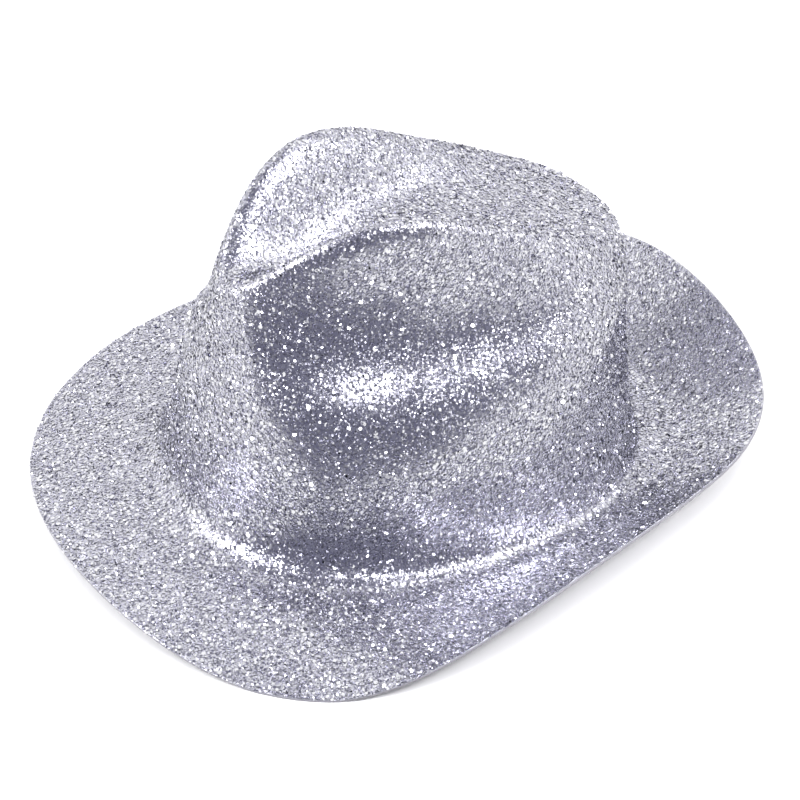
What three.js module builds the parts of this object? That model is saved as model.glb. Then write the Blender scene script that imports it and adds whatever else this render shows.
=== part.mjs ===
// A glittered party hat: one sheet of thin plastic, formed over a mould into a creased crown and a curled
// brim, a film of glue on its upper face, and a dense coat of glitter flakes held by the glue.
// Millimetres. +Z is up, the front of the hat faces -Y, and the wearer's left is +X.
// The origin is on the surface that the hat stands on, under the middle of the brim.

import * as THREE from "three";

// Sizes seen from above: half lengths run front to back, half widths run side to side.
const brimHalfLength = 150;
const brimHalfWidth = 120.5;
const headHalfLength = 101.5;
const headHalfWidth = 79.5;
const rimHalfLength = 85.5;
const rimHalfWidth = 41.5;

// Heights of the formed sheet's upper face.
const brimHeight = 9;
const footHeight = 2.5;
const rimHeight = 137.5;
const hollowHeight = 112;

// The stack of layers, from the plastic outwards. Each layer is clear of the next by layerGap.
const plasticThickness = 0.6;
const glueThickness = 0.15;
const glitterThickness = 0.35;
const layerGap = 0.1;

// Facets: the columns around the hat, and the rows from each oval to the next, more where the sheet bends.
const columnCount = 48;
const rowsPerOval = { brim: [1, 1, 2, 2, 4], wall: [2, 1, 1, 2, 2, 2, 2], top: [2, 2, 1, 1] };

// How a closed line rises and falls on its way round: pitch lifts the front and drops the back, dish lifts
// both, nose bends the two ends further apart, and wave makes four rises with four falls between them.
const brimCurl = { pitch: -12.6, dish: 10.7, nose: -0.3, wave: 5.5 };
const crownLine = { pitch: 41.5, dish: -29.5, nose: -31, wave: 0 };

// One oval of the formed sheet. A positive taper narrows the front, and a positive square fills out the
// corners. curl and lift are the shares of brimCurl and crownLine that the oval takes. dent is a hollow in
// both sides, between the angles from and to, in degrees from the front: it moves the middle of the side in
// by depth and down by sink.
function oval(settings) {
  const plain = { centre: 0, taper: 0, squareFront: 0.02, squareBack: 0.02, tilt: 0, curl: 0, lift: 0 };
  return { ...plain, dent: { depth: 0, sink: 0, from: 0, to: 180 }, ...settings };
}

const brimEdge = oval({
  halfWidth: brimHalfWidth,
  halfLength: brimHalfLength,
  taper: -0.25,
  squareFront: 0,
  squareBack: 0.1,
  height: brimHeight,
  curl: 1,
});
const foot = oval({
  halfWidth: headHalfWidth,
  halfLength: headHalfLength,
  centre: 3.5,
  height: footHeight,
  tilt: 10.5,
});

// An oval of the brim: inward is 0 at the cut edge and 1 at the foot of the crown.
// The curl fades faster than the width, so that the inner brim lies nearly flat.
function brimOval(inward) {
  const between = {};
  for (const name of Object.keys(foot)) {
    if (name !== "dent") between[name] = THREE.MathUtils.lerp(brimEdge[name], foot[name], inward);
  }
  return oval({ ...between, curl: (1 - inward) ** 2 });
}

// The side walls of the crown, from the foot up to the rim of its hollow top.
const wall = [
  oval({ halfWidth: headHalfWidth - 4.5, halfLength: headHalfLength - 5, centre: 4.2, height: 30, tilt: 1 }),
  oval({ halfWidth: headHalfWidth - 6.5, halfLength: headHalfLength - 7, centre: 5.2, height: 48, tilt: 1 }),
  oval({ halfWidth: headHalfWidth - 9, halfLength: headHalfLength - 9, centre: 6, height: 64, tilt: 2 }),
  oval({
    halfWidth: rimHalfWidth + 25.5,
    halfLength: rimHalfLength + 5.5,
    centre: 7,
    taper: 0.02,
    squareBack: 0.03,
    height: 80,
    lift: 0.12,
    dent: { depth: 5, sink: 0, from: 34, to: 106 },
  }),
  oval({
    halfWidth: rimHalfWidth + 16.5,
    halfLength: rimHalfLength + 3.5,
    centre: 8.5,
    taper: 0.03,
    squareFront: -0.013,
    squareBack: 0.045,
    height: 98,
    lift: 0.27,
    dent: { depth: 11, sink: 7.5, from: 20, to: 122 },
  }),
  oval({
    halfWidth: rimHalfWidth + 8.5,
    halfLength: rimHalfLength + 2,
    centre: 10,
    taper: 0.05,
    squareFront: -0.03,
    squareBack: 0.043,
    height: 121,
    lift: 0.68,
    dent: { depth: 7, sink: 1, from: 14, to: 128 },
  }),
];

// The top of the crown: its rim, and the long hollow inside the rim, which ends in a point.
function topOval(inFromSides, inFromEnds, centre, height, lift) {
  return oval({
    halfWidth: rimHalfWidth - inFromSides,
    halfLength: rimHalfLength - inFromEnds,
    centre,
    height,
    lift,
    taper: 0.08,
    squareFront: -0.02,
    squareBack: 0.05,
  });
}

const top = [
  topOval(0, 0, 11.5, rimHeight, 1),
  topOval(9, 11, 11.5, rimHeight - 4.5, 0.85),
  topOval(17.5, 25, 13, hollowHeight + 8, 0.4),
  topOval(23, 45, 14, hollowHeight, 0.12),
  topOval(rimHalfWidth, rimHalfLength, 16, hollowHeight, 0),
];

const brimSteps = [0, 0.09, 0.28, 0.48, 0.69];
const ovals = [...brimSteps.map(brimOval), foot, ...wall, ...top];

// How much of a dent there is at an angle: all of it halfway between from and to, and none at either end.
function dentShare(dent, phi) {
  const angle = THREE.MathUtils.radToDeg(Math.abs(Math.atan2(Math.sin(phi), Math.cos(phi))));
  const fromMiddle = 2 * THREE.MathUtils.clamp((angle - dent.from) / (dent.to - dent.from), 0, 1) - 1;
  return (1 - fromMiddle ** 2) ** 1.5;
}

function riseAndFall(line, phi) {
  const front = Math.cos(phi);
  return line.pitch * front + line.dish * front ** 2 + line.nose * front ** 3 + line.wave * Math.cos(4 * phi);
}

// The point of an oval at the angle phi, which is 0 at the front and grows towards the wearer's left.
function ovalPoint(shape, phi) {
  const front = Math.cos(phi);
  const side = Math.sin(phi);
  const square = THREE.MathUtils.lerp(shape.squareBack, shape.squareFront, 0.5 + 0.5 * front);
  const across = (side + square * Math.sin(3 * phi)) / (1 - square);
  const along = (front - square * Math.cos(3 * phi)) / (1 - square);
  const dent = dentShare(shape.dent, phi);
  return new THREE.Vector3(
    shape.halfWidth * across * (1 - shape.taper * front) - shape.dent.depth * dent * Math.sign(side),
    shape.centre - shape.halfLength * along,
    shape.height +
      shape.tilt * front -
      shape.dent.sink * dent +
      shape.curl * riseAndFall(brimCurl, phi) +
      shape.lift * riseAndFall(crownLine, phi),
  );
}

// Past either end of the list, the ovals are mirrored in the last one, so that the sheet reaches it.
function controlPoint(index, phi) {
  const last = ovals.length - 1;
  const nearest = THREE.MathUtils.clamp(index, 0, last);
  const point = ovalPoint(ovals[nearest], phi);
  if (index === nearest) return point;
  const inside = ovalPoint(ovals[2 * nearest - index], phi);
  return point.multiplyScalar(2).sub(inside);
}

// The upper face of the sheet: a cubic B-spline across the ovals. travel is 0 at the brim's edge and grows
// by 1 an oval. Where the hat's weight presses it on the surface it stands on, the face is flat.
function sheetPoint(travel, phi) {
  const first = Math.min(Math.floor(travel), ovals.length - 2);
  const t = travel - first;
  const weights = [(1 - t) ** 3, 3 * t ** 3 - 6 * t ** 2 + 4, -3 * t ** 3 + 3 * t ** 2 + 3 * t + 1, t ** 3];
  const point = new THREE.Vector3();
  weights.forEach((weight, i) => point.addScaledVector(controlPoint(first - 1 + i, phi), weight / 6));
  point.z = Math.max(point.z, plasticThickness);
  return point;
}

// Where the rows of points lie, from the brim's edge inwards.
function rowTravels() {
  const counts = [...rowsPerOval.brim, ...rowsPerOval.wall, ...rowsPerOval.top];
  return counts.flatMap((count, from) => Array.from({ length: count }, (_, i) => from + i / count));
}

const travels = rowTravels();

// The sheet as rows of points, and then a single point in the middle of the crown.
function sheetPoints() {
  const rows = travels.map((travel) =>
    Array.from({ length: columnCount }, (_, column) =>
      sheetPoint(travel, (column * 2 * Math.PI) / columnCount),
    ),
  );
  return [...rows.flat(), sheetPoint(ovals.length - 1, 0)];
}

// The sheet's triangles, facing up and outwards.
function sheetTriangles() {
  const triangles = [];
  const centre = travels.length * columnCount;
  for (let row = 0; row < travels.length; row += 1) {
    for (let column = 0; column < columnCount; column += 1) {
      const next = (column + 1) % columnCount;
      const outerHere = row * columnCount + column;
      const outerNext = row * columnCount + next;
      if (row === travels.length - 1) {
        triangles.push([outerHere, outerNext, centre]);
      } else {
        const innerHere = outerHere + columnCount;
        const innerNext = outerNext + columnCount;
        triangles.push([outerHere, outerNext, innerNext], [outerHere, innerNext, innerHere]);
      }
    }
  }
  return triangles;
}

function sheetNormals(points, triangles) {
  const geometry = new THREE.BufferGeometry().setFromPoints(points);
  geometry.setIndex(triangles.flat());
  geometry.computeVertexNormals();
  const normals = geometry.getAttribute("normal");
  return points.map((_, i) => new THREE.Vector3().fromBufferAttribute(normals, i));
}

const points = sheetPoints();
const triangles = sheetTriangles();
const normals = sheetNormals(points, triangles);

// A closed layer between two distances from the sheet's upper face, measured along its normals.
function layer(lower, upper) {
  const faceAt = (distance) =>
    points.map((point, i) => {
      const moved = point.clone().addScaledVector(normals[i], distance);
      moved.z = Math.max(moved.z, plasticThickness + distance);
      return moved;
    });
  const below = points.length;
  const lowerFace = triangles.map(([a, b, c]) => [a + below, c + below, b + below]);
  const edge = [];
  for (let column = 0; column < columnCount; column += 1) {
    const next = (column + 1) % columnCount;
    edge.push([column, column + below, next + below], [column, next + below, next]);
  }
  const geometry = new THREE.BufferGeometry().setFromPoints([...faceAt(upper), ...faceAt(lower)]);
  geometry.setIndex([...triangles, ...lowerFace, ...edge].flat());
  geometry.computeVertexNormals();
  return geometry;
}

function piece(name, geometry, finish) {
  const mesh = new THREE.Mesh(geometry, new THREE.MeshStandardMaterial(finish));
  mesh.name = name;
  return mesh;
}

const glueStart = layerGap;
const glueEnd = glueStart + glueThickness;
const glitterStart = glueEnd + layerGap;
const glitterEnd = glitterStart + glitterThickness;

const hat = new THREE.Group();
hat.add(
  piece("formed_shell", layer(-plasticThickness, 0), { color: 0xa9a9b2, roughness: 0.35, metalness: 0 }),
  piece("glue_coat", layer(glueStart, glueEnd), { color: 0xd9d9e0, roughness: 0.2, metalness: 0 }),
  piece("glitter_coat", layer(glitterStart, glitterEnd), { color: 0xc1c1cb, roughness: 0.4, metalness: 0.9 }),
);

export default hat;
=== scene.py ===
import math

import bpy
import numpy as np
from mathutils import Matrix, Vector


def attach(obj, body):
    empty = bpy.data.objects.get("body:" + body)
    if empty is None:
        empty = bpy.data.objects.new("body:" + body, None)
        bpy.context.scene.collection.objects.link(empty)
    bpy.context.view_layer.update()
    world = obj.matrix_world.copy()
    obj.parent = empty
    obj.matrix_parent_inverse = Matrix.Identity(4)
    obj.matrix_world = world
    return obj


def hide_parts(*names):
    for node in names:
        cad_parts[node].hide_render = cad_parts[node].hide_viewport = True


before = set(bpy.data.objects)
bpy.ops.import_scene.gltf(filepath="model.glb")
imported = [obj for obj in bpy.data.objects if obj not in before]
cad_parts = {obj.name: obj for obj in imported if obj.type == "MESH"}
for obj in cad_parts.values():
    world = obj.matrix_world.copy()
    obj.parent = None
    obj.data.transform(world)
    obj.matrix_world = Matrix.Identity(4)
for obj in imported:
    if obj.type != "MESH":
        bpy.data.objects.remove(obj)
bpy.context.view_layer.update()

mm = 0.001


def linearColour(code):
    # sRGB hex to the linear values that a shader takes
    channels = [int(code[i:i + 2], 16) / 255 for i in (1, 3, 5)]
    return [c / 12.92 if c <= 0.04045 else ((c + 0.055) / 1.055) ** 2.4 for c in channels] + [1.0]


def addNode(tree, kind, values=None, links=None, **settings):
    # one node, its settings, its socket values and what feeds it
    node = tree.nodes.new(kind)
    for name, value in settings.items():
        setattr(node, name, value)
    for socket, value in (values or {}).items():
        node.inputs[socket].default_value = value
    for socket, source in (links or {}).items():
        tree.links.new(source, node.inputs[socket])
    return node


def startMaterial(name, values):
    # a material with one principled shader, and the tree that patterns are added to
    material = bpy.data.materials.new(name)
    material.use_nodes = True
    tree = material.node_tree
    tree.nodes.clear()
    shader = addNode(tree, "ShaderNodeBsdfPrincipled", values)
    addNode(tree, "ShaderNodeOutputMaterial", links={"Surface": shader.outputs["BSDF"]})
    return material, tree, shader


def makeObject(name, vertices, faces, material, smooth=True):
    mesh = bpy.data.meshes.new(name)
    mesh.from_pydata(np.asarray(vertices).tolist(), [], faces)
    mesh.polygons.foreach_set("use_smooth", [smooth] * len(mesh.polygons))
    mesh.materials.append(material)
    mesh.update()
    made = bpy.data.objects.new(name, mesh)
    bpy.context.scene.collection.objects.link(made)
    return made


# the formed sheet is a list of ovals, from the brim's cut edge to the middle of the crown, in millimetres
sheet = {
    "brimHalfLength": 150, "brimHalfWidth": 120.5,
    "headHalfLength": 101.5, "headHalfWidth": 79.5,
    "rimHalfLength": 85.5, "rimHalfWidth": 41.5,
    "brimHeight": 9, "footHeight": 2.5, "rimHeight": 137.5, "hollowHeight": 112,
    "plasticThickness": 0.6, "glueThickness": 0.15, "bedThickness": 0.35, "layerGap": 0.1,
    "brimSteps": (0, 0.09, 0.28, 0.48, 0.69),      # shares of the way from the cut edge to the foot
    "columns": 320, "rowsPerOval": 8,
}

# how an oval rises and falls on its way round: pitch lifts the front and drops the back, dish lifts both,
# nose bends the ends apart and wave makes four rises
brimCurl = {"pitch": -12.6, "dish": 10.7, "nose": -0.3, "wave": 5.5}
crownLine = {"pitch": 41.5, "dish": -29.5, "nose": -31, "wave": 0}


def oval(**settings):
    # taper narrows the front, square fills the corners out, curl and lift are shares of the two lines above,
    # and a dent moves the middle of the side in by its depth and down by its sink, between two angles
    plain = {"centre": 0, "taper": 0, "squareFront": 0.02, "squareBack": 0.02, "tilt": 0, "curl": 0,
             "lift": 0, "dentDepth": 0, "dentSink": 0, "dentFrom": 0, "dentTo": 180}
    return {**plain, **settings}


def brimOval(edge, foot, inward):
    # the curl fades faster than the width, so the inner brim lies nearly flat
    between = {name: edge[name] + (foot[name] - edge[name]) * inward for name in foot}
    return {**between, "curl": (1 - inward) ** 2}


def hatOvals():
    length, width = sheet["headHalfLength"], sheet["headHalfWidth"]
    rimLength, rimWidth = sheet["rimHalfLength"], sheet["rimHalfWidth"]
    rim, hollow = sheet["rimHeight"], sheet["hollowHeight"]
    edge = oval(halfWidth=sheet["brimHalfWidth"], halfLength=sheet["brimHalfLength"], taper=-0.25,
                squareFront=0, squareBack=0.1, height=sheet["brimHeight"], curl=1)
    foot = oval(halfWidth=width, halfLength=length, centre=3.5, height=sheet["footHeight"], tilt=10.5)
    brim = [brimOval(edge, foot, inward) for inward in sheet["brimSteps"]]
    wall = [
        oval(halfWidth=width - 4.5, halfLength=length - 5, centre=4.2, height=30, tilt=1),
        oval(halfWidth=width - 6.5, halfLength=length - 7, centre=5.2, height=48, tilt=1),
        oval(halfWidth=width - 9, halfLength=length - 9, centre=6, height=64, tilt=2),
        oval(halfWidth=rimWidth + 25.5, halfLength=rimLength + 5.5, centre=7, taper=0.02, squareBack=0.03,
             height=80, lift=0.12, dentDepth=5, dentFrom=34, dentTo=106),
        oval(halfWidth=rimWidth + 16.5, halfLength=rimLength + 3.5, centre=8.5, taper=0.03,
             squareFront=-0.013, squareBack=0.045, height=98, lift=0.27,
             dentDepth=11, dentSink=7.5, dentFrom=20, dentTo=122),
        oval(halfWidth=rimWidth + 8.5, halfLength=rimLength + 2, centre=10, taper=0.05,
             squareFront=-0.03, squareBack=0.043, height=121, lift=0.68,
             dentDepth=7, dentSink=1, dentFrom=14, dentTo=128),
    ]

    def topOval(inFromSides, inFromEnds, centre, height, lift):
        return oval(halfWidth=rimWidth - inFromSides, halfLength=rimLength - inFromEnds, centre=centre,
                    height=height, lift=lift, taper=0.08, squareFront=-0.02, squareBack=0.05)

    top = [
        topOval(0, 0, 11.5, rim, 1),
        topOval(9, 11, 11.5, rim - 4.5, 0.85),
        topOval(17.5, 25, 13, hollow + 8, 0.4),
        topOval(23, 45, 14, hollow, 0.12),
        topOval(rimWidth, rimLength, 16, hollow, 0),
    ]
    return [*brim, foot, *wall, *top]


def riseAndFall(line, phi):
    front = np.cos(phi)
    slope = line["pitch"] * front + line["dish"] * front ** 2 + line["nose"] * front ** 3
    return slope + line["wave"] * np.cos(4 * phi)


def ovalLine(shape, phi):
    # phi is 0 at the front of the hat and grows towards the wearer's left
    front, side = np.cos(phi), np.sin(phi)
    square = shape["squareBack"] + (shape["squareFront"] - shape["squareBack"]) * (0.5 + 0.5 * front)
    across = (side + square * np.sin(3 * phi)) / (1 - square)
    along = (front - square * np.cos(3 * phi)) / (1 - square)
    angle = np.degrees(np.abs(np.arctan2(side, front)))
    dentSpan = shape["dentTo"] - shape["dentFrom"]
    acrossDent = np.clip((angle - shape["dentFrom"]) / dentSpan, 0, 1) * 2 - 1
    dent = (1 - acrossDent ** 2) ** 1.5
    narrowed = shape["halfWidth"] * across * (1 - shape["taper"] * front)
    return np.stack([
        narrowed - shape["dentDepth"] * dent * np.sign(side),
        shape["centre"] - shape["halfLength"] * along,
        shape["height"] + shape["tilt"] * front - shape["dentSink"] * dent
        + shape["curl"] * riseAndFall(brimCurl, phi) + shape["lift"] * riseAndFall(crownLine, phi),
    ], -1)


def sheetFace():
    # the upper face: a cubic B-spline across the ovals, which ends in one point in the middle of the crown
    ovals = hatOvals()
    phi = np.linspace(0, 2 * math.pi, sheet["columns"], endpoint=False)
    lines = np.stack([ovalLine(shape, phi) for shape in ovals])
    lines = np.concatenate([2 * lines[:1] - lines[1:2], lines, 2 * lines[-1:] - lines[-2:-1]])
    travel = np.arange((len(ovals) - 1) * sheet["rowsPerOval"] + 1) / sheet["rowsPerOval"]
    first = np.minimum(travel.astype(int), len(ovals) - 2)
    t = (travel - first)[:, None, None]
    weights = [(1 - t) ** 3, 3 * t ** 3 - 6 * t ** 2 + 4, -3 * t ** 3 + 3 * t ** 2 + 3 * t + 1, t ** 3]
    points = sum(weight / 6 * lines[first + i] for i, weight in enumerate(weights))
    points[..., 2] = np.maximum(points[..., 2], sheet["plasticThickness"])
    return points


def faceNormals(points):
    rows = np.gradient(points, axis=0)
    columns = (np.roll(points, -1, axis=1) - np.roll(points, 1, axis=1)) / 2
    normals = np.cross(columns, rows)
    normals[-1] = normals[-2].mean(axis=0)
    return normals / np.linalg.norm(normals, axis=-1, keepdims=True)


# a thin sheet is never quite true to its mould, so it wanders in slow swells, but not where it rests
ripple = {
    "depth": 0.25, "smallShare": 0.6, "shift": 1.3,
    "startHeight": 3, "fullHeight": 9,
}


def rippled(points, normals):
    # a swell turns by one radian over each length that a coordinate is divided by
    x, y, z = (points[..., i] for i in range(3))
    broad = np.sin(x / 9 + y / 23 + ripple["shift"]) * np.sin(y / 12 - z / 15)
    swell = broad + ripple["smallShare"] * np.sin(z / 6 + x / 14 - y / 31)
    free = np.clip((z - ripple["startHeight"]) / (ripple["fullHeight"] - ripple["startHeight"]), 0, 1)
    return points + normals * (ripple["depth"] * swell * free)[..., None]


def faceQuads(rows, columns, start=0, flipped=False):
    # quads between rows, then triangles round the last point
    quads = []
    for row in range(rows - 1):
        for column in range(columns):
            here, beside = row * columns + column + start, row * columns + (column + 1) % columns + start
            if row == rows - 2:
                face = [here, beside, (rows - 1) * columns + start]
            else:
                face = [here, beside, beside + columns, here + columns]
            quads.append(face[::-1] if flipped else face)
    return quads


def layerMesh(face, normals, lower, upper):
    # a closed layer between two distances from the sheet's upper face
    rows, columns = face.shape[:2]
    count = (rows - 1) * columns + 1
    faces = []
    for distance in (upper, lower):
        moved = face + normals * distance
        moved[..., 2] = np.maximum(moved[..., 2], sheet["plasticThickness"] + distance)
        faces.append(moved.reshape(-1, 3)[:count] * mm)
    quads = faceQuads(rows, columns) + faceQuads(rows, columns, count, True)
    for column in range(columns):
        beside = (column + 1) % columns
        quads.append([column, column + count, beside + count, beside])
    return np.concatenate(faces), quads


def plasticFinish():
    # thermoformed polystyrene sheet: grey and satin, with a faint orange peel from the heated mould
    look = {"colour": "#8f8d93", "ior": 1.59, "roughness": 0.38,
            "peelSize": 1.6, "peelHeight": 0.05, "peelStrength": 0.5}
    material, tree, shader = startMaterial("thermoformed polystyrene", {
        "Base Color": linearColour(look["colour"]),
        "IOR": look["ior"], "Roughness": look["roughness"]})
    place = addNode(tree, "ShaderNodeTexCoord")
    peel = addNode(tree, "ShaderNodeTexNoise", {"Scale": 1 / (look["peelSize"] * mm), "Detail": 2},
                   {"Vector": place.outputs["Object"]})
    bump = addNode(tree, "ShaderNodeBump",
                   {"Strength": look["peelStrength"], "Distance": look["peelHeight"] * mm},
                   {"Height": peel.outputs["Fac"]})
    tree.links.new(bump.outputs["Normal"], shader.inputs["Normal"])
    return material


def glueFinish():
    # dried craft glue over the grey sheet: pale, wet-looking and lumpy where drops ran together
    look = {"colour": "#b4b4c0", "ior": 1.47, "roughness": 0.16,
            "dropSize": 1.2, "dropHeight": 0.12, "dropStrength": 0.6}
    material, tree, shader = startMaterial("dried craft glue", {
        "Base Color": linearColour(look["colour"]), "IOR": look["ior"], "Roughness": look["roughness"]})
    place = addNode(tree, "ShaderNodeTexCoord")
    drops = addNode(tree, "ShaderNodeTexVoronoi", {"Scale": 1 / (look["dropSize"] * mm)},
                    {"Vector": place.outputs["Object"]}, feature="SMOOTH_F1")
    bump = addNode(tree, "ShaderNodeBump",
                   {"Strength": look["dropStrength"], "Distance": look["dropHeight"] * mm},
                   {"Height": drops.outputs["Distance"]}, invert=True)
    tree.links.new(bump.outputs["Normal"], shader.inputs["Normal"])
    return material


def bedFinish():
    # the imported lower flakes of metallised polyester: each cell is one flake that leans its own way
    look = {"colours": ("#96959f", "#d8d8e0"), "roughness": 0.28, "flakeSize": 0.6, "lean": 0.25}
    material, tree, shader = startMaterial("packed polyester glitter", {
        "Metallic": 1.0, "Roughness": look["roughness"]})
    place = addNode(tree, "ShaderNodeTexCoord")
    cells = addNode(tree, "ShaderNodeTexVoronoi", {"Scale": 1 / (look["flakeSize"] * mm)},
                    {"Vector": place.outputs["Object"]}, feature="F1")
    centred = addNode(tree, "ShaderNodeVectorMath", {1: (0.5, 0.5, 0.5)}, {0: cells.outputs["Color"]},
                      operation="SUBTRACT")
    leaning = addNode(tree, "ShaderNodeVectorMath", {"Scale": 2 * look["lean"]}, {0: centred.outputs[0]},
                      operation="SCALE")
    surface = addNode(tree, "ShaderNodeNewGeometry")
    added = addNode(tree, "ShaderNodeVectorMath", links={
        0: leaning.outputs[0], 1: surface.outputs["Normal"]}, operation="ADD")
    facing = addNode(tree, "ShaderNodeVectorMath", links={0: added.outputs[0]}, operation="NORMALIZE")
    tree.links.new(facing.outputs[0], shader.inputs["Normal"])
    channels = addNode(tree, "ShaderNodeSeparateColor", links={"Color": cells.outputs["Color"]})
    tone = addNode(tree, "ShaderNodeMix", links={"Factor": channels.outputs["Blue"]}, data_type="RGBA")
    tone.inputs["A"].default_value = linearColour(look["colours"][0])
    tone.inputs["B"].default_value = linearColour(look["colours"][1])
    tree.links.new(tone.outputs["Result"], shader.inputs["Base Color"])
    return material


# flakes of metallised polyester film: a mirror behind clear film, bright or dark by what it faces
flakeFinishes = {
    "bright silver": {"colour": "#f0f0f4", "roughness": 0.12},
    "plain silver": {"colour": "#e0e0e8", "roughness": 0.18},
    "lavender silver": {"colour": "#d2d1e0", "roughness": 0.22},
    "dull silver": {"colour": "#aeadbb", "roughness": 0.30},
    "tarnished black": {"colour": "#26262c", "roughness": 0.45},
}


def flakeMaterial(name):
    look = flakeFinishes[name]
    return startMaterial("polyester flake, " + name, {
        "Base Color": linearColour(look["colour"]), "Metallic": 1.0, "Roughness": look["roughness"]})[0]


# the loose upper flakes, scattered over the bed
flakes = {
    "smallest": 0.75, "largest": 1.25,     # shares of a batch's width
    "mostLean": 58, "leanPower": 3.3,      # degrees, and how rare the steep ones are
    "lowest": 0.0, "highest": 0.35,        # how far a flake's middle is above the bed
    "leanShift": 7919, "turnShift": 100, "sizeShift": 200,     # keep the random draws apart
    # name: finish, width across the points, flakes per square millimetre, seed
    "batches": {
        "glitter_bright": ("bright silver", 1.6, 0.14, 11),
        "glitter_silver_a": ("plain silver", 0.85, 0.43, 12),
        "glitter_silver_b": ("plain silver", 0.85, 0.43, 13),
        "glitter_lavender_a": ("lavender silver", 0.85, 0.43, 14),
        "glitter_lavender_b": ("lavender silver", 0.85, 0.43, 15),
        "glitter_dull": ("dull silver", 0.75, 0.3, 16),
        "glitter_specks": ("tarnished black", 0.8, 0.006, 17),
    },
}


def flakeTree():
    tree = bpy.data.node_groups.new("scatter flakes", "GeometryNodeTree")
    sockets = tree.interface
    sockets.new_socket("Geometry", in_out="INPUT", socket_type="NodeSocketGeometry")
    sockets.new_socket("Geometry", in_out="OUTPUT", socket_type="NodeSocketGeometry")
    for name, kind in (("Flake Width", "Float"), ("Per Square Metre", "Float"), ("Seed", "Int"),
                       ("Smallest", "Float"), ("Largest", "Float"), ("Most Lean", "Float"),
                       ("Lean Power", "Float"), ("Lowest", "Float"), ("Highest", "Float"),
                       ("Material", "Material")):
        sockets.new_socket(name, in_out="INPUT", socket_type="NodeSocket" + kind)
    given = addNode(tree, "NodeGroupInput").outputs
    points = addNode(tree, "GeometryNodeDistributePointsOnFaces", links={
        "Mesh": given["Geometry"], "Density": given["Per Square Metre"], "Seed": given["Seed"]},
        distribute_method="RANDOM")
    hexagon = addNode(tree, "GeometryNodeMeshCircle", {"Vertices": 6}, fill_type="NGON")
    radius = addNode(tree, "ShaderNodeMath", {1: 0.5}, {0: given["Flake Width"]}, operation="MULTIPLY")
    tree.links.new(radius.outputs[0], hexagon.inputs["Radius"])
    depth = addNode(tree, "FunctionNodeRandomValue", links={
        "Min": given["Lowest"], "Max": given["Highest"], "Seed": given["Seed"]}, data_type="FLOAT")
    outward = addNode(tree, "ShaderNodeVectorMath", links={
        0: points.outputs["Normal"], "Scale": depth.outputs[1]}, operation="SCALE")
    raised = addNode(tree, "GeometryNodeSetPosition", links={
        "Geometry": points.outputs["Points"], "Offset": outward.outputs[0]})
    # most flakes lie nearly flat, a few stand steeply, and each is turned its own way
    number = addNode(tree, "GeometryNodeInputID")
    shifted = addNode(tree, "ShaderNodeMath", {1: flakes["leanShift"]}, {0: number.outputs[0]},
                      operation="ADD")
    chance = addNode(tree, "FunctionNodeRandomValue", links={
        "ID": shifted.outputs[0], "Seed": given["Seed"]}, data_type="FLOAT")
    rare = addNode(tree, "ShaderNodeMath", links={
        0: chance.outputs[1], 1: given["Lean Power"]}, operation="POWER")
    lean = addNode(tree, "ShaderNodeMath", links={
        0: rare.outputs[0], 1: given["Most Lean"]}, operation="MULTIPLY")
    turnSeed = addNode(tree, "ShaderNodeMath", {1: flakes["turnShift"]}, {0: given["Seed"]},
                       operation="ADD")
    turn = addNode(tree, "FunctionNodeRandomValue", {3: 2 * math.pi}, {"Seed": turnSeed.outputs[0]},
                   data_type="FLOAT")
    angles = addNode(tree, "ShaderNodeCombineXYZ", links={"X": lean.outputs[0], "Z": turn.outputs[1]})
    own = addNode(tree, "FunctionNodeEulerToRotation", links={"Euler": angles.outputs[0]})
    turned = addNode(tree, "FunctionNodeRotateRotation", links={
        "Rotation": points.outputs["Rotation"], "Rotate By": own.outputs[0]}, rotation_space="LOCAL")
    sizeSeed = addNode(tree, "ShaderNodeMath", {1: flakes["sizeShift"]}, {0: given["Seed"]},
                       operation="ADD")
    size = addNode(tree, "FunctionNodeRandomValue", links={
        "Min": given["Smallest"], "Max": given["Largest"], "Seed": sizeSeed.outputs[0]}, data_type="FLOAT")
    placed = addNode(tree, "GeometryNodeInstanceOnPoints", links={
        "Points": raised.outputs[0], "Instance": hexagon.outputs[0],
        "Rotation": turned.outputs[0], "Scale": size.outputs[1]})
    real = addNode(tree, "GeometryNodeRealizeInstances", links={"Geometry": placed.outputs[0]})
    coloured = addNode(tree, "GeometryNodeSetMaterial", links={
        "Geometry": real.outputs[0], "Material": given["Material"]})
    addNode(tree, "NodeGroupOutput", links={"Geometry": coloured.outputs[0]})
    return tree


def scatterBatch(tree, host, name, finish, width, density, seed):
    # the tree runs on the bed's upper face, and its result becomes a plain mesh
    modifier = host.modifiers.new("scatter", "NODES")
    modifier.node_group = tree
    inputs = {"Flake Width": width * mm, "Per Square Metre": density / mm ** 2, "Seed": seed,
              "Smallest": flakes["smallest"], "Largest": flakes["largest"],
              "Most Lean": math.radians(flakes["mostLean"]), "Lean Power": flakes["leanPower"],
              "Lowest": flakes["lowest"] * mm, "Highest": flakes["highest"] * mm,
              "Material": flakeMaterial(finish)}
    for item in tree.interface.items_tree:
        if item.in_out == "INPUT" and item.name in inputs:
            modifier[item.identifier] = inputs[item.name]
    host.update_tag()
    evaluated = host.evaluated_get(bpy.context.evaluated_depsgraph_get())
    mesh = bpy.data.meshes.new_from_object(evaluated)
    host.modifiers.remove(modifier)
    mesh.name = name
    batch = bpy.data.objects.new(name, mesh)
    bpy.context.scene.collection.objects.link(batch)
    return batch


# the hat: sheet, glue, packed glitter, then the loose flakes on top
smooth = sheetFace()
face = rippled(smooth, faceNormals(smooth))
normals = faceNormals(face)
glueStart = sheet["layerGap"]
glueEnd = glueStart + sheet["glueThickness"]
bedStart = glueEnd + sheet["layerGap"]
bedEnd = bedStart + sheet["bedThickness"]

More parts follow.
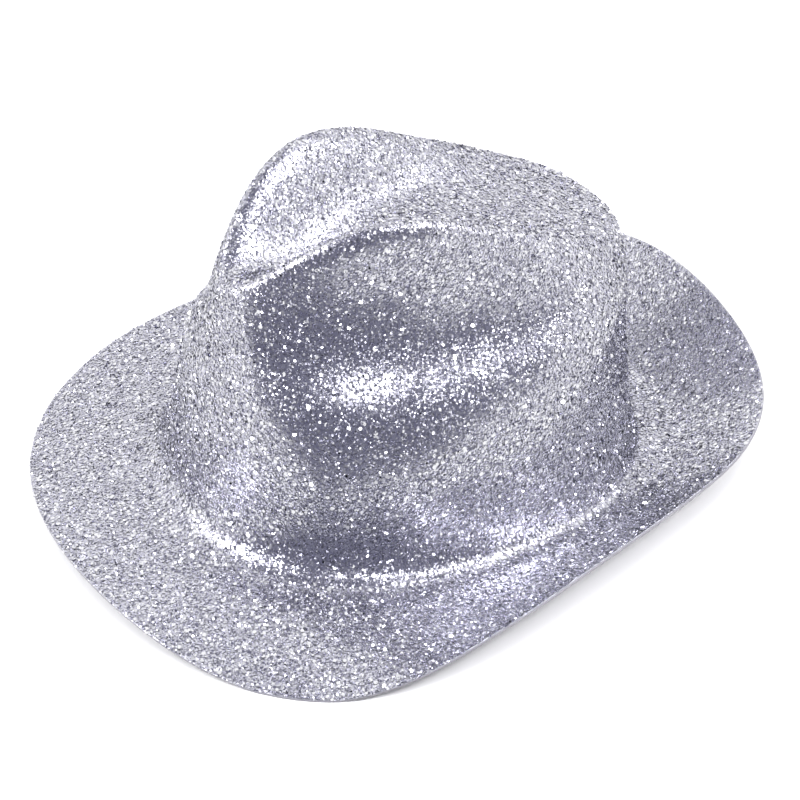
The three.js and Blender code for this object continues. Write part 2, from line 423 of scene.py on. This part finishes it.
plasticLayer = layerMesh(face, normals, -sheet["plasticThickness"], 0)
formedSheet = makeObject("formed_sheet", *plasticLayer, plasticFinish())
glueFilm = makeObject("glue_film", *layerMesh(face, normals, glueStart, glueEnd), glueFinish())
bedMaterial = bedFinish()
glitterBed = makeObject("glitter_bed", *layerMesh(face, normals, bedStart, bedEnd), bedMaterial)
print("sheet, glue and glitter bed made:", len(formedSheet.data.polygons), "faces each")

rowCount, columnCount = face.shape[:2]
pointCount = (rowCount - 1) * columnCount + 1
upperFace = (face + normals * bedEnd).reshape(-1, 3)[:pointCount] * mm
host = makeObject("flake_host", upperFace, faceQuads(rowCount, columnCount), bedMaterial)
scatter = flakeTree()
batches = [scatterBatch(scatter, host, name, *batch) for name, batch in flakes["batches"].items()]
bpy.data.objects.remove(host)
print("flakes scattered:", [(batch.name, len(batch.data.polygons)) for batch in batches])

for piece, node, slot in ((formedSheet, "formed_shell", "moulded_plastic"),
                          (glueFilm, "glue_coat", "clear_glue"),
                          (glitterBed, "glitter_coat", "silver_glitter")):
    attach(piece, "root")
    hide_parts(node)
for batch in batches:
    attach(batch, "root")


# floor, lights and camera, in metres
studio = {
    "floorColour": "#fafafa", "floorRoughness": 0.9, "floorReach": 8.0,
    "tentColour": "#ffffff", "openSideColour": "#737384", "tentStrength": 1.12,
    "openEdge": (0.36, 0.57),      # where the tent's open side starts and ends, as the cosine from its middle
    "fillStrength": 1.8, "fillSide": 3.0, "fillHeight": 2.5,
    # name: direction from the hat, distance, width, height, brightness of its face
    "softboxes": {
        "left softbox": ((-0.12, -0.77, 0.64), 1.5, 0.6, 0.6, 15.0),
        "right softbox": ((0.50, 0.46, 0.70), 1.5, 0.46, 0.46, 15.0),
        "side softbox": ((0.66, -0.09, 0.75), 1.5, 0.5, 0.34, 6.5),
        "top softbox": ((0.05, 0.41, 0.91), 1.5, 0.3, 0.3, 4.0),
    },
    "aim": (-0.0004, 0.0040, 0.0265), "azimuth": 58.3, "elevation": 38.6,      # of the camera
    "distance": 1.1, "lens": 119.6, "viewReach": 50,
}


def cameraSide():
    turn, rise = math.radians(studio["azimuth"]), math.radians(studio["elevation"])
    return Vector((math.sin(turn) * math.cos(rise), -math.cos(turn) * math.cos(rise), math.sin(rise)))


def makeTent():
    # a white light tent, darker where it stands open towards the camera
    world = bpy.data.worlds.new("light tent")
    world.use_nodes = True
    tree = world.node_tree
    room = tree.nodes["Background"]
    room.inputs["Strength"].default_value = studio["tentStrength"]
    place = addNode(tree, "ShaderNodeTexCoord")
    facing = addNode(tree, "ShaderNodeVectorMath", {1: cameraSide()}, {0: place.outputs["Generated"]},
                     operation="DOT_PRODUCT")
    start, end = studio["openEdge"]
    fade = addNode(tree, "ShaderNodeMapRange", {"From Min": start, "From Max": end},
                   {"Value": facing.outputs["Value"]}, interpolation_type="SMOOTHSTEP")
    wall = addNode(tree, "ShaderNodeMix", links={"Factor": fade.outputs["Result"]}, data_type="RGBA")
    wall.inputs["A"].default_value = linearColour(studio["tentColour"])
    wall.inputs["B"].default_value = linearColour(studio["openSideColour"])
    tree.links.new(wall.outputs["Result"], room.inputs["Color"])
    bpy.context.scene.world = world


def addPanel(name, aim, direction, distance, width, height, brightness):
    lamp = bpy.data.lights.new(name, "AREA")
    lamp.shape = "RECTANGLE"
    lamp.size, lamp.size_y = width, height
    lamp.energy = brightness * math.pi * width * height
    panel = bpy.data.objects.new(name, lamp)
    towards = direction.normalized()
    panel.location = aim + towards * distance
    panel.rotation_euler = towards.to_track_quat("Z", "Y").to_euler()
    bpy.context.scene.collection.objects.link(panel)
    return panel


def makeStudio():
    reach = studio["floorReach"]
    corners = [(-reach, -reach, 0), (reach, -reach, 0), (reach, reach, 0), (-reach, reach, 0)]
    paint = startMaterial("matt white board", {
        "Base Color": linearColour(studio["floorColour"]), "Roughness": studio["floorRoughness"]})[0]
    floor = makeObject("floor", corners, [[0, 1, 2, 3]], paint, smooth=False)
    floor.visible_glossy = False
    makeTent()
    aim = Vector(studio["aim"])
    for name, (direction, distance, width, height, brightness) in studio["softboxes"].items():
        addPanel(name, aim, Vector(direction), distance, width, height, brightness)
    # a broad fill that lights the board but isn't seen in the glitter
    side = studio["fillSide"]
    fill = addPanel("overhead fill", aim, Vector((0, 0, 1)), studio["fillHeight"], side, side,
                    studio["fillStrength"])
    fill.visible_glossy = False


def makeCamera():
    away = cameraSide()
    lens = bpy.data.cameras.new("camera")
    lens.lens = studio["lens"]
    lens.clip_end = studio["viewReach"]
    eye = bpy.data.objects.new("camera", lens)
    eye.location = Vector(studio["aim"]) + away * studio["distance"]
    eye.rotation_euler = away.to_track_quat("Z", "Y").to_euler()
    bpy.context.scene.collection.objects.link(eye)
    bpy.context.scene.camera = eye


makeStudio()
makeCamera()
bpy.context.scene.view_settings.view_transform = "Standard"
print("studio ready")
